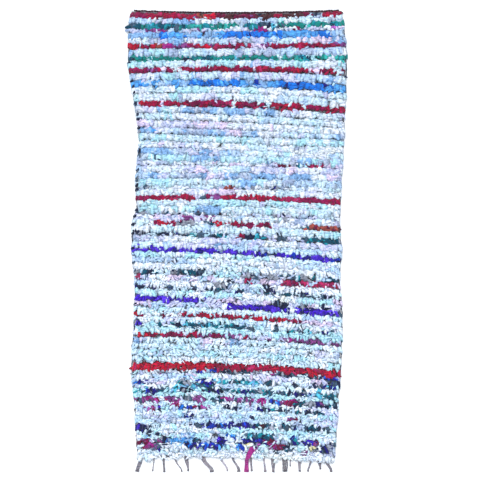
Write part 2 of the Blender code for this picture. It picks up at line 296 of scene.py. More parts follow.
def onRug(row, across, inset=0.0):
    # the place on the floor of a point of a row: across is 0 at the left side and 1 at the right
    fromEnd = rowFromEnd(row, across)
    left = inset - np.interp(fromEnd, sides[:, 0], sides[:, 1])
    right = np.interp(fromEnd, sides[:, 0], sides[:, 2]) - inset
    return left + across * (right - left), plainEndY - fromEnd


def tuckIn(points):
    # keeps the rags' tips along the rug's own sides, and off the floor
    x, y, z = points[..., 0], points[..., 1], points[..., 2]
    left = -np.interp(plainEndY - y, sides[:, 0], sides[:, 1])
    right = np.interp(plainEndY - y, sides[:, 0], sides[:, 2])
    x = np.where(x > right, right + 0.22 * (x - right), x)
    x = np.where(x < left, left + 0.22 * (x - left), x)
    z = np.where(z < 0.0015, 0.0004 + 0.0011 * np.exp(np.clip(z - 0.0015, -0.02, 0) / 0.0011), z)
    return np.stack([x, y, z], axis=-1)


def deselectAll():
    if bpy.context.object and bpy.context.object.mode != "OBJECT":
        bpy.ops.object.mode_set(mode="OBJECT")
    bpy.ops.object.select_all(action="DESELECT")


def turnUpright():
    # turns what is selected from lying in the floor plan to facing along +Y
    bpy.ops.transform.rotate(value=math.pi / 2, orient_axis="X", center_override=(0, 0, 0))


def thickenPiece(piece, thickness):
    # gives a sheet its thickness, downwards
    thicken = piece.modifiers.new("thicken", "SOLIDIFY")
    thicken.thickness = thickness
    thicken.offset = -1
    bpy.ops.object.modifier_apply(modifier="thicken")


def shadeSmooth(mesh):
    mesh.polygons.foreach_set("use_smooth", np.ones(len(mesh.polygons), dtype=bool))


def newMesh(name, points, faces):
    mesh = bpy.data.meshes.new(name)
    mesh.from_pydata(points.tolist(), [], faces)
    mesh.update()
    shadeSmooth(mesh)
    piece = bpy.data.objects.new(name, mesh)
    bpy.context.scene.collection.objects.link(piece)
    return piece


def addUvMap(mesh, name, corners):
    layer = mesh.uv_layers.new(name=name)
    layer.data.foreach_set("uv", corners.astype(np.float32).ravel())


def addDyes(mesh, colours):
    # the dye of every point, which the materials read
    attribute = mesh.attributes.new("dye", "FLOAT_COLOR", "POINT")
    rgba = np.ones((len(mesh.vertices), 4), dtype=np.float32)
    rgba[:, :3] = colours
    attribute.data.foreach_set("color", rgba.ravel())


def unroll(points, faces, normals):
    # each face corner's place on the unrolled strip, 0 to 1 around it and along it
    corners = []
    for face, normal in zip(faces, normals):
        around = [math.atan2(points[v][2], points[v][0]) / (2 * math.pi) % 1.0 for v in face]
        if max(around) - min(around) > 0.5:
            around = [turn + 1 if turn < 0.5 else turn for turn in around]
        atCap = abs(normal[1]) > 0.7
        for vertex, turn in zip(face, around):
            along = points[vertex][1]
            if atCap:
                turn = 0.5 + 0.1 * points[vertex][0]
                along = (0.96 if along > 0.5 else 0.01) + 0.02 * points[vertex][2]
            corners.append((turn % 1.0001, along if atCap else 0.03 + 0.91 * along))
    return np.array(corners)


def takeShape(model):
    # the points, faces and unrolled corners of a piece that was modelled once, to be copied
    mesh = model.data
    points = np.array([vert.co[:] for vert in mesh.vertices])
    faces = [tuple(face.vertices) for face in mesh.polygons]
    normals = np.array([face.normal[:] for face in mesh.polygons])
    bpy.data.objects.remove(model)
    return points, faces, unroll(points, faces, normals)


# Rags

rag = {
    "smoothRows": (30, 46),  # before these the pile is smooth and after them it is frizzy
    "knotPitch": 0.0150,
    "legApart": 0.25,  # of a knot
    "width": (0.0105, 0.0205),
    "thickness": (0.0026, 0.0046),
    "peak": 0.0215,
    "rootHeight": 0.0035,
    "rootBack": 0.56,  # of a row: the knot lies under the tips of the row before
    "firstBack": 0.18,
    "rowWaver": 0.003,
    "sideInset": 0.012,
    "nearSide": 0.035,  # rags nearer to a side than this lie lower and turn outwards
    "missing": 0.02,
    "crosswise": 0.60,  # how often a knot has a third and a fourth end that lie along the row
    "crossBack": (-0.30, 0.34),
    "crossReach": (0.018, 0.032),
    "crossTurn": (0.9, 1.6),
    "crossNarrow": 0.60,
    "crossHeight": 0.013,
    "sameStrip": 0.62,  # how often a knot is of the same strip of rag as the knot before
    "sameFrizzy": 0.4,  # times that in the frizzy blends
    "kinDye": (0.10, 0.36),  # how often a strong rag is of a near dye, in a plain row and a mixed one
    "paleDye": 0.11,  # how often it is pale in a mixed row
    "paleMix": 0.45,  # how much of another pale dye a pale rag has at most
    "strongShade": 2.6,  # how much more than a pale rag a strong one differs in its shade
    # how much darker the pale rags of the smooth rows, towards the plain end, are painted: painted shade
    # where the light falls off
    "smoothRowsPaintedShade": 0.10,
}

# how the rags lie in the frizzy rows, and in the smooth ones
frizzySmooth = {
    "reach": (0.0315, 0.0330),  # from the knot to the tip, along the floor
    "reachNoise": (0.075, 0.040),
    "heightNoise": (0.060, 0.018),
    "tip": (0.0175, 0.0163),
    "turnNoise": (0.46, 0.28),
    "foldNoise": (0.15, 0.08),
    "rollNoise": (0.28, 0.16),
    "dyeNoise": (0.055, 0.040),
    "wider": (1.08, 1.54),
    "thicker": (1.00, 1.25),
    "lift": (0, 0.0075),  # how steeply a rag springs up from its knot
}

# a rag's outline: width and thickness at each step along it, and how far its end is cut on the slant
ragCuts = {
    "straightRag": ((0.60, 1.3), (0.92, 1.1), (1.05, 1.0), (1.00, 1.0), (1.02, 0.9), (0.80, 0.7), 14),
    "flaredRag": ((0.50, 1.4), (0.75, 1.2), (0.95, 1.0), (1.15, 0.9), (1.22, 0.8), (0.95, 0.6), -20),
    "pointedRag": ((0.65, 1.3), (1.00, 1.1), (1.10, 1.0), (1.00, 1.0), (0.78, 0.9), (0.40, 0.7), 8),
    "pinchedRag": ((0.60, 1.3), (1.05, 1.0), (0.80, 1.3), (0.95, 1.1), (1.12, 0.9), (0.80, 0.7), 24),
}


def modelRag(name, cut):
    # one rag of unit length and width, extruded step by step along +Y
    steps, slant = cut[:-1], cut[-1]
    deselectAll()
    bpy.ops.mesh.primitive_circle_add(vertices=4, radius=0.5, fill_type="NGON")
    cloth = bpy.context.object
    cloth.name = name
    bpy.ops.object.mode_set(mode="EDIT")
    bpy.ops.mesh.select_all(action="SELECT")
    turnUpright()
    width, thickness = steps[0]
    bpy.ops.transform.resize(value=(width, 1, thickness), center_override=(0, 0, 0))
    stepLength = 1 / (len(steps) - 1)
    for number, (nextWidth, nextThickness) in enumerate(steps[1:], start=1):
        bpy.ops.mesh.extrude_region_move(TRANSFORM_OT_translate={"value": (0, stepLength, 0)})
        growth = (nextWidth / width, 1, nextThickness / thickness)
        bpy.ops.transform.resize(value=growth, center_override=(0, number * stepLength, 0))
        width, thickness = nextWidth, nextThickness
    bpy.ops.transform.rotate(value=math.radians(slant) / 2, orient_axis="Z", center_override=(0, 1, 0))
    bpy.ops.mesh.select_all(action="SELECT")
    bpy.ops.mesh.normals_make_consistent(inside=False)
    bpy.ops.object.mode_set(mode="OBJECT")
    return takeShape(cloth)


def bezier(share, controls):
    # points and slopes of a curve through four controls, each an array with a number for every rag
    rest = 1 - share
    place = (rest**3 * controls[0] + 3 * rest**2 * share * controls[1]
             + 3 * rest * share**2 * controls[2] + share**3 * controls[3])
    slope = 3 * (rest**2 * (controls[1] - controls[0]) + 2 * rest * share * (controls[2] - controls[1])
                 + share**2 * (controls[3] - controls[2]))
    return place, slope


def layRags(shape, lie):
    # bends a copy of one rag along its own curve for every row of the table lie
    points = shape[0]
    across, along, through = points[:, 0], points[:, 1], points[:, 2]
    column = {name: values[:, None] for name, values in lie.items()}
    out, outSlope = bezier(along[None, :], [column["out0"], column["out1"], column["out2"], column["out3"]])
    up, upSlope = bezier(along[None, :], [column["up0"], column["up1"], column["up2"], column["up3"]])
    steep = np.hypot(outSlope, upSlope)
    outward, upward = outSlope / steep, upSlope / steep  # unit vectors along the rag
    fold = column["fold"] * (0.5 - np.abs(across[None, :]))
    flat = -across[None, :] * column["width"]
    thick = through[None, :] * column["thickness"] + fold * column["width"]
    roll = column["roll"] * (0.4 + along[None, :])
    sideways = flat * np.cos(roll) - thick * np.sin(roll)
    normal = flat * np.sin(roll) + thick * np.cos(roll)
    sway = column["sway"] * along[None, :] ** 1.4 + column["wiggle"] * np.sin(along[None, :] * 5.0)
    localX = sideways + sway
    localOut = out - upward * normal
    localUp = up + outward * normal
    cosTurn, sinTurn = np.cos(column["turn"]), np.sin(column["turn"])
    x = column["x"] + localX * cosTurn + localOut * sinTurn
    y = column["y"] - localOut * cosTurn + localX * sinTurn
    return tuckIn(np.stack([x, y, localUp], axis=-1))


def listed(text):
    return [entry.split() for entry in text.split(",") if entry.strip()]


def strewRuns(row):
    # a row's stretches of rag, each a blend with its start and end: the short ones strewn, then the long ones
    base, longOnes, shortOnes, length = rowStripes[row]
    names = [base] + [name for name, share in listed(shortOnes)]
    shares = [float(share) / 100 for name, share in listed(shortOnes)]
    shares = np.array([max(0.03, 1 - sum(shares))] + shares)
    strew = np.random.default_rng(900 + row)
    runs = []
    place = -pileHigh[0] - 0.03 * strew.random()
    while length and place < pileHigh[0]:
        stretch = 0.01 * length * strew.uniform(0.5, 1.5)
        runs.append((names[strew.choice(len(names), p=shares / shares.sum())], place, place + stretch))
        place += stretch
    return runs + [(name, float(start) / 100, float(end) / 100) for name, start, end in listed(longOnes)]


def pickDyes(row, x):
    # the dye of each knot of a row: a strip of rag makes a few knots side by side
    base = rowStripes[row][0]
    runs = strewRuns(row)
    names = []
    lastBlend, lastDye = None, None
    for place in x + chance.normal(0, 0.005, len(x)):
        name = base
        for runName, start, end in runs:
            if start <= place < end:
                name = runName
        if name in blends:
            sameStrip = rag["sameStrip"] * (rag["sameFrizzy"] if name in frizzyBlends else 1)
            if name != lastBlend or chance.random() > sameStrip:
                blend = blends[name]
                weights = np.array(list(blend.values()), dtype=float)
                lastDye = str(chance.choice(list(blend), p=weights / weights.sum()))
            lastBlend = name
            name = lastDye
        names.append(name)
    return names


def mingle(names, mixed):
    # single rag ends of a near dye, and pale ones among the strong ones, the more the more mixed the pile is
    out = []
    kinShare = np.interp(mixed, (0, 1), rag["kinDye"])
    for name in names:
        if name in kin and chance.random() < kinShare:
            name = str(chance.choice(kin[name]))
        elif name in kin and chance.random() < rag["paleDye"] * mixed:
            name = str(chance.choice(("white", "ice", "lavender", "paleBlue")))
        out.append(name)
    return out


def rowShown(row, x):
    # the share of a row that shows at each place along it
    if row >= rowCount:
        return 1 + 0 * x
    share = rowShow.get(row, 1.0)
    uneven = (0.34 if row in rowShow else 0.24) * np.interp(row, rag["smoothRows"], (0.72, 1))
    return share * (1 + uneven * ripple(x, 0.075, 300 + row) + 0.5 * uneven * ripple(x, 0.026, 500 + row))


def sowLeg(row, across, leg, smooth):
    # a rag end for each knot of a row: leg is -1 or 1 for a knot's two tips, and 0 for one laid crosswise
    count = len(across)
    lie = {name: frizzy + (flat - frizzy) * smooth for name, (frizzy, flat) in frizzySmooth.items()}
    crosswise = leg == 0
    share = across + leg * rag["legApart"] / count
    if crosswise:
        back = chance.uniform(*rag["crossBack"])
    else:
        back = rag["firstBack"] if row == 0 else rag["rootBack"]
    x, y = onRug(row - back, share, rag["sideInset"])
    y = y + rag["rowWaver"] * waver(x, y, 0.065, 5) + chance.normal(0, 0.0015, count)
    shown = np.clip(rowShown(row, x), 0.2, 1.5)
    shownNext = np.clip(rowShown(row + 1, x), 0.2, 1.5)
    tipShift = rowPitch * (0.62 * (1 - shownNext) - 0.38 * (1 - shown))
    reach = (lie["reach"] + tipShift) * (1 + chance.normal(0, lie["reachNoise"], count))
    height = 1 + 0.07 * waver(x, y, 0.10, 8) + chance.normal(0, lie["heightNoise"], count)
    height = height * (0.80 + 0.20 * shown)
    if row == 0:
        reach = reach - 0.004
    if row >= rowCount - 2:
        height = height * 0.72
    if row == rowCount - 1:
        reach = reach + np.interp(x, lastRow[:, 0], lastRow[:, 1])
    peak = rag["peak"] * height
    tip = lie["tip"] * height + 0.36 * np.maximum(tipShift, 0) + chance.normal(0, 0.0016, count)
    edge = np.minimum(share, 1 - share) * 2 * pileHigh[0]  # to the nearer side
    near = np.clip(1 - edge / rag["nearSide"], 0, 1)
    outward = np.where(share < 0.5, -1.0, 1.0)
    turn = 0.36 * waver(x, y, 0.14, 21) + chance.normal(0, lie["turnNoise"], count)
    turn = turn * (1 - 0.7 * near) + outward * near * 0.15
    sway = chance.normal(0, 0.004, count) + leg * 0.003 + outward * near * 0.003
    tip = tip * (1 - 0.45 * near)
    peak = peak * (1 - 0.20 * near)
    root = rag["rootHeight"] + lie["lift"] * (1 - near) * (row > 0)
    keep = chance.random(count) > rag["missing"]
    if crosswise:
        keep = (chance.random(count) < rag["crosswise"]) & (near < 0.5)
        turn = np.where(chance.random(count) < 0.5, -1, 1) * chance.uniform(*rag["crossTurn"], count)
        reach = chance.uniform(*rag["crossReach"], count)
        sway = chance.normal(0, 0.007, count)
        peak = peak * 1.02
        tip = peak * chance.uniform(0.84, 1.0, count)
        root = rag["crossHeight"] + 0 * x
    wider = lie["wider"] * (rag["crossNarrow"] if crosswise else 1)
    return {
        "x": x, "y": y, "row": 0 * x + row, "leg": 0 * x + leg, "sway": sway, "turn": turn,
        "width": chance.uniform(*rag["width"], count) * wider,
        "thickness": chance.uniform(*rag["thickness"], count) * lie["thicker"],
        "fold": chance.normal(0.10, lie["foldNoise"], count),
        "roll": chance.normal(0, lie["rollNoise"], count),
        "wiggle": chance.normal(0, 0.0012, count),
        "out0": 0 * x, "out1": reach * 0.05, "out2": reach * 0.58, "out3": reach,
        "up0": root, "up1": peak * 0.96, "up2": peak * 1.17, "up3": tip,
        "dyeShade": 1 + 0.05 * waver(x, y, 0.09, 61) + chance.normal(0, lie["dyeNoise"], count),
    }, keep


def sowKnots():
    # every rag end of the pile: where its knot is, how it bends, and its dye
    tables, dyeNames = [], []
    count = int(2 * pileHigh[0] / rag["knotPitch"])
    for row in range(rowCount):
        smooth = 1 - np.interp(row, rag["smoothRows"], (0, 1))
        across = (np.arange(count) + 0.5 + chance.uniform(-0.3, 0.3, count)) / count
        knotDyes = pickDyes(row, onRug(row, across)[0])
        mixed = 0.12 if row in plainRows else 1 - smooth
        for leg in (-1, 1, 0, 0):
            values, keep = sowLeg(row, across, leg, smooth)
            tables.append({name: column[keep] for name, column in values.items()})
            dyeNames += mingle([name for name, kept in zip(knotDyes, keep) if kept], mixed)
    return {name: np.concatenate([part[name] for part in tables]) for name in tables[0]}, np.array(dyeNames)


# Materials

cloth = {
    "specular": 0.2,
    "sheenRoughness": 0.5,
    "blotchStretch": (55, 150, 110),
    # the ramp darkens the dye and tints it blue-grey in blotches: partly painted shade under the rag tips and
    # in creases, partly grime
    "paintedShadeAndGrime": ((0.34, (0.46, 0.53, 0.63)), (0.56, (1, 1, 1))),  # places on a ramp, and what the dye is times
    "creaseScale": 420,
    "reliefStrength": 0.5,
}


def addNode(tree, kind, inputs, **settings):
    # a new shader node: each of its inputs is given as a value, or as the output of another node
    node = tree.nodes.new("ShaderNode" + kind)
    for name, value in settings.items():
        setattr(node, name, value)
    for name, value in inputs.items():
        if isinstance(value, bpy.types.NodeSocket):
            tree.links.new(value, node.inputs[name])
        else:
            node.inputs[name].default_value = value
    return node


def addRamp(tree, source, stops):
    ramp = addNode(tree, "ValToRGB", {"Fac": source})
    for number, (position, colour) in enumerate(stops):
        ramp.color_ramp.elements[number].position = position
        ramp.color_ramp.elements[number].color = (*colour, 1)
    return ramp.outputs["Color"]


def newMaterial(name, roughness, sheen):
    material = bpy.data.materials.new(name)
    material.use_nodes = True
    shader = material.node_tree.nodes["Principled BSDF"]
    shader.inputs["Roughness"].default_value = roughness
    shader.inputs["Sheen Weight"].default_value = sheen
    return material, material.node_tree, shader


def clothMaterial(name, roughness, sheen, weaveScale, weaveDepth):
    material, tree, shader = newMaterial(name, roughness, sheen)
    shader.inputs["Sheen Roughness"].default_value = cloth["sheenRoughness"]
    shader.inputs["Specular IOR Level"].default_value = cloth["specular"]
    place = addNode(tree, "TexCoord", {}).outputs["Object"]
    stretch = addNode(tree, "Mapping", {"Vector": place, "Scale": cloth["blotchStretch"]}).outputs["Vector"]
    blotch = addNode(tree, "TexNoise", {"Vector": stretch, "Scale": 1, "Detail": 2.5}).outputs["Fac"]
    dye = addNode(tree, "Attribute", {}, attribute_name="dye").outputs["Color"]
    # painted blue-grey shade, partly grime, in blotches stretched across the rug, times the dye
    paintedShadeAndGrime = addRamp(tree, blotch, cloth["paintedShadeAndGrime"])
    shadedGrimyDye = addNode(tree, "VectorMath", {0: dye, 1: paintedShadeAndGrime}, operation="MULTIPLY")
    tree.links.new(shadedGrimyDye.outputs["Vector"], shader.inputs["Base Color"])
    weave = addNode(tree, "UVMap", {}, uv_map="weave").outputs["UV"]
    weft = addNode(tree, "TexWave", {"Vector": weave, "Scale": weaveScale, "Distortion": 1.5},
                   bands_direction="Y").outputs["Fac"]
    crease = addNode(tree, "TexNoise", {"Vector": place, "Scale": cloth["creaseScale"],
                                        "Detail": 4}).outputs["Fac"]
    relief = addNode(tree, "Math", {0: weft, 1: crease}, operation="ADD").outputs["Value"]
    bump = addNode(tree, "Bump", {"Height": relief, "Strength": cloth["reliefStrength"],
                                  "Distance": weaveDepth})
    tree.links.new(bump.outputs["Normal"], shader.inputs["Normal"])
    return material


def joinCopies(name, batches):
    # one mesh of many laid copies: a batch is a shape, its laid points, a dye for each point and a size
    allPoints, allFaces, allDyes, atlas, weave = [], [], [], [], []
    offset, order = 0, 0
    cells = math.ceil(math.sqrt(sum(len(batch[1]) for batch in batches)))
    for shape, points, colours, size in batches:
        count, perCopy = points.shape[:2]
        allPoints.append(points.reshape(-1, 3))
        for number in range(count):
            first = offset + number * perCopy
            allFaces += [tuple(first + v for v in face) for face in shape[1]]
        offset += count * perCopy
        allDyes.append(np.clip(colours, 0, 1).reshape(-1, 3))
        cell = order + np.arange(count)
        corner = np.stack([cell % cells, cell // cells], axis=-1)[:, None, :]
        atlas.append(((corner + 0.04 + 0.92 * shape[2][None, :, :]) / cells).reshape(-1, 2))
        weave.append((shape[2][None, :, :] * size[:, None, :] + corner * 0.05).reshape(-1, 2))
        order += count
    piece = newMesh(name, np.concatenate(allPoints), allFaces)
    mesh = piece.data
    addUvMap(mesh, "weave", np.concatenate(weave))
    addUvMap(mesh, "OFBake", np.concatenate(atlas))
    addDyes(mesh, np.concatenate(allDyes))
    triangles = sum(len(face.vertices) - 2 for face in mesh.polygons)
    print(name, order, "copies,", triangles, "triangles")
    return piece


def finishPiece(piece, material, node):
    piece.data.materials.append(material)
    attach(piece, "root")
    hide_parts(node)
    return piece


def dyeColours(names, shade, perCopy, palePaintedShade=1.0):
    # pale rags are each a little like another pale one, strong ones differ in their shade; the last argument
    # darkens the pale ones as painted shade
    own = np.array([toLinear(dyes[name]) for name in names])
    other = np.array([toLinear(dyes[name]) for name in chance.choice(paleDyes, len(names))])
    isPale = np.isin(names, paleDyes)[:, None]
    mix = np.where(isPale, chance.uniform(0, rag["paleMix"], (len(names), 1)), 0)
    shade = np.where(isPale[:, 0], shade * palePaintedShade, 1 + rag["strongShade"] * (shade - 1))
    colours = (own * (1 - mix) + other * mix) * shade[:, None]
    return np.repeat(colours[:, None, :], perCopy, axis=1)


ragShapes = [modelRag(name, cut) for name, cut in ragCuts.items()]
ragLie, ragDyes = sowKnots()
print("rag ends:", len(ragDyes))


def makeRags(name, chosen, cuts):
    batches = []
    for number, shape in enumerate(ragShapes):
        here = np.flatnonzero(chosen & (cuts == number))
        if len(here):
            part = {column: values[here] for column, values in ragLie.items()}
            points = layRags(shape, part)
            # pale rags in the smooth rows are painted darker: painted shade
            palePaintedShade = 1 - rag["smoothRowsPaintedShade"] * np.interp(part["row"], rag["smoothRows"], (1, 0))
            colours = dyeColours(ragDyes[here], part["dyeShade"], points.shape[1], palePaintedShade)
            size = np.stack([2.2 * part["width"], part["out3"] * 1.4], axis=-1)
            batches.append((shape, points, colours, size))
    return joinCopies(name, batches)


def makePile():
    cuts = chance.integers(0, len(ragShapes), len(ragDyes))
    pieces = []
    for family, (stretches, *members) in ragFamilies.items():
        ofFamily = np.isin(ragDyes, members)
        for stretch in range(stretches):
            fromRow, toRow = rowCount * stretch / stretches, rowCount * (stretch + 1) / stretches
            chosen = ofFamily & (ragLie["row"] >= fromRow) & (ragLie["row"] < toRow)
            name = family if stretches == 1 else family + str(stretch + 1)
            piece = makeRags(name, chosen, cuts)
            pieces.append(finishPiece(piece, clothMaterial(name + "Cloth", 0.85, 0.12, 700, 0.0004),
                                      "rug_pile"))
    return pieces


pilePieces = makePile()
print("pile done")


# Knot backs on the underside

knotBack = {
    "width": 0.0098,
    "length": 0.0125,
    "lowest": 0.0002,
    "height": 0.0019,
    "aside": 0.003,
    "turnNoise": 0.16,
    "sizes": (0.85, 1.1),
    "shade": 0.9,
}


def modelKnotBack():
    # the short bar of rag that shows behind a knot
    deselectAll()
    bpy.ops.mesh.primitive_cube_add(size=1, location=(0, 0.5, 0))
    bar = bpy.context.object
    bpy.ops.object.transform_apply(location=True, rotation=False, scale=False)
    bpy.ops.object.mode_set(mode="EDIT")
    bpy.ops.mesh.select_all(action="DESELECT")
    bpy.ops.object.mode_set(mode="OBJECT")
    for face in bar.data.polygons:
        face.select = face.normal.z < -0.5
    bpy.ops.object.mode_set(mode="EDIT")
    bpy.ops.transform.resize(value=(0.62, 0.7, 1), center_override=(0, 0.5, -0.5))
    bpy.ops.object.mode_set(mode="OBJECT")
    return takeShape(bar)


def makeKnotBacks():
    shape = modelKnotBack()
    here = np.flatnonzero(ragLie["leg"] == -1)
    part = {column: values[here] for column, values in ragLie.items()}
    points = shape[0]
    count = len(here)
    turn = chance.normal(0, knotBack["turnNoise"], count)[:, None]
    wide = knotBack["width"] * chance.uniform(*knotBack["sizes"], count)[:, None]
    long = knotBack["length"] * chance.uniform(*knotBack["sizes"], count)[:, None]
    across, along = points[None, :, 0] * wide, (points[None, :, 1] - 0.5) * long
    x = part["x"][:, None] + knotBack["aside"] + across * np.cos(turn) - along * np.sin(turn)
    y = part["y"][:, None] + across * np.sin(turn) + along * np.cos(turn)
    low = knotBack["lowest"] + chance.uniform(0, 0.0004, count)[:, None]
    z = low + (points[None, :, 2] + 0.5) * knotBack["height"]
    colours = dyeColours(ragDyes[here], knotBack["shade"] * part["dyeShade"], len(points))
    size = np.tile((0.03, 0.02), (count, 1))
    piece = joinCopies("knotBacks", [(shape, np.stack([x, y, z], axis=-1), colours, size)])
    return finishPiece(piece, clothMaterial("knotBackCloth", 0.9, 0.1, 700, 0.0003), "rug_pile")


knotBacks = makeKnotBacks()
print("knot backs done")


# Yarn: two plies twisted, for the warp ends, the selvedges and the end cord

yarn = {
    "steps": 16,
    "twist": 50,  # degrees a step
    "plySides": 5,
    "plyRadius": 0.33,
    "plyOut": 0.18,
}


def modelYarn():
    # one length of two-ply yarn, 1 long and about 1 wide, extruded and turned step by step along +Y
    deselectAll()
    bpy.ops.mesh.primitive_circle_add(vertices=yarn["plySides"], radius=yarn["plyRadius"], fill_type="NGON")
    ply = bpy.context.object
    bpy.ops.object.mode_set(mode="EDIT")
    bpy.ops.mesh.select_all(action="SELECT")
    turnUpright()
    bpy.ops.transform.translate(value=(yarn["plyOut"], 0, 0))
    for step in range(yarn["steps"]):
        bpy.ops.mesh.extrude_region_move(TRANSFORM_OT_translate={"value": (0, 1 / yarn["steps"], 0)})
        bpy.ops.transform.rotate(
            value=math.radians(yarn["twist"]), orient_axis="Y", center_override=(0, 0, 0))
    bpy.ops.mesh.select_all(action="SELECT")
    bpy.ops.mesh.duplicate()
    bpy.ops.transform.rotate(value=math.pi, orient_axis="Y", center_override=(0, 0, 0))
    bpy.ops.mesh.select_all(action="SELECT")
    bpy.ops.mesh.normals_make_consistent(inside=False)
    bpy.ops.object.mode_set(mode="OBJECT")
    return takeShape(ply)


def layYarn(shape, path, widths):
    # bends one length of yarn along a path of points on the floor plan with a height, all in metres
    points = shape[0]
    path = np.asarray(path, dtype=float)
    steps = np.linspace(0, 1, len(path))
    along = np.clip(points[:, 1], 0, 1)
    centre, ahead, behind = (
        np.stack([np.interp(at, steps, path[:, axis]) for axis in range(3)], axis=-1)
        for at in (along, np.minimum(along + 0.03, 1), np.maximum(along - 0.03, 0)))
    heading = ahead - behind
    heading /= np.linalg.norm(heading, axis=1)[:, None]
    level = np.stack([-heading[:, 1], heading[:, 0], 0 * along], axis=-1)
    level /= np.linalg.norm(level, axis=1)[:, None]
    upright = np.cross(heading, level)
    width = np.interp(along, np.linspace(0, 1, len(widths)), widths)[:, None]
    return centre - level * points[:, :1] * width + upright * points[:, 2:3] * width


def curvePath(controls, count=14):
    # a smooth path through points on the floor plan
    controls = np.asarray(controls, dtype=float)
    knots = np.linspace(0, 1, len(controls))
    smooth = np.linspace(0, 1, count)
    path = np.stack([np.interp(smooth, knots, controls[:, axis]) for axis in range(3)], axis=-1)
    for _ in range(3):
        path[1:-1] = 0.25 * path[:-2] + 0.5 * path[1:-1] + 0.25 * path[2:]
    return path


yarnShape = modelYarn()


# Warp fringe

# each bunch of warp ends: where it leaves the cloth and where it ends, across the rug, its width at both,
# how far it bows to the right, how much shorter than the longest it is, and how light it is
fringeBunches = (
    (-0.482, -0.498, 0.024, 0.022, 0.002, 0.001, 0.95), (-0.414, -0.421, 0.008, 0.006, 0.001, 0.004, 0.90),
    (-0.367, -0.364, 0.015, 0.013, 0.001, 0.000, 0.75), (-0.310, -0.277, 0.013, 0.007, -0.002, 0.003, 0.80),
    (-0.255, -0.245, 0.024, 0.010, 0.001, 0.006, 0.95), (-0.172, -0.128, 0.026, 0.022, 0.004, 0.000, 1.00),
    (-0.084, -0.050, 0.012, 0.007, 0.004, 0.005, 1.60), (-0.025, 0.006, 0.012, 0.020, 0.006, 0.002, 1.00),
    (0.067, 0.071, 0.013, 0.012, 0.000, 0.004, 1.00), (0.131, 0.137, 0.009, 0.017, 0.001, 0.001, 1.40),
    (0.176, 0.178, 0.022, 0.014, -0.001, 0.000, 0.95), (0.235, 0.236, 0.030, 0.027, 0.001, 0.002, 0.62),
    (0.265, 0.262, 0.008, 0.006, -0.002, 0.028, 1.10), (0.310, 0.309, 0.020, 0.014, -0.002, 0.003, 1.20),
    (0.364, 0.350, 0.013, 0.012, 0.002, 0.004, 1.25), (0.406, 0.412, 0.024, 0.010, -0.002, 0.015, 0.95),
    (0.438, 0.465, 0.018, 0.015, 0.002, 0.001, 0.90),
)
fringe = {
    "yarnWidth": 0.0047,
    "rootInside": 0.020,  # how far each end is tucked under the last row
    "rootHeight": 0.0045,
    "stray": 0.006,  # how far the longest ends reach past the solid locks
    "colour": (146, 138, 144),
    "tipColour": (98, 88, 92),
    "shades": (0.86, 1.1),
    "frays": 5,
    "frayLength": 0.010,
    "fraySpread": 0.35,
    "frayWidths": (0.0009, 0.0007),
    "frayHeight": (0.0006, 0.0024),
}


def fringePath(root, end, bow, short, offsetRoot, offsetEnd):
    # a warp end's path from under the last row to its tip on the floor
    lift = fringe["yarnWidth"] * 0.62
    across = (root + pileHigh[0]) / (2 * pileHigh[0])
    rootY = onRug(lastEdge, across)[1] + fringe["rootInside"]
    tipY = fringeLow[1] - fringe["stray"] + short
    wander = chance.normal(0, 0.0012, 2)
    controls = (
        (root + offsetRoot, rootY, fringe["rootHeight"]),
        (root + offsetRoot, rootY + 0.35 * (tipY - rootY), lift + 0.0004),
        (0.6 * root + 0.4 * end + bow + 0.8 * offsetRoot + 0.2 * offsetEnd + wander[0],
         rootY + 0.6 * (tipY - rootY), lift),
        (end + bow * 0.5 + offsetEnd + wander[1], rootY + 0.85 * (tipY - rootY), lift),
        (end + offsetEnd, tipY, lift),
    )
    return curvePath(controls)


def modelFray():
    # one fibre at a yarn's cut end
    deselectAll()
    bpy.ops.mesh.primitive_cone_add(vertices=3, radius1=0.5, radius2=0.12, depth=1, location=(0, 0, 0.5))
    fibre = bpy.context.object
    bpy.ops.object.transform_apply(location=True, rotation=False, scale=False)
    bpy.ops.object.mode_set(mode="EDIT")
    bpy.ops.mesh.select_all(action="SELECT")
    turnUpright()
    bpy.ops.object.mode_set(mode="OBJECT")
    points, faces, corners = takeShape(fibre)
    if points[:, 1].min() < -0.5:  # the fibre runs along +Y
        points[:, 1] *= -1
        faces = [tuple(reversed(face)) for face in faces]
    return points, faces, corners


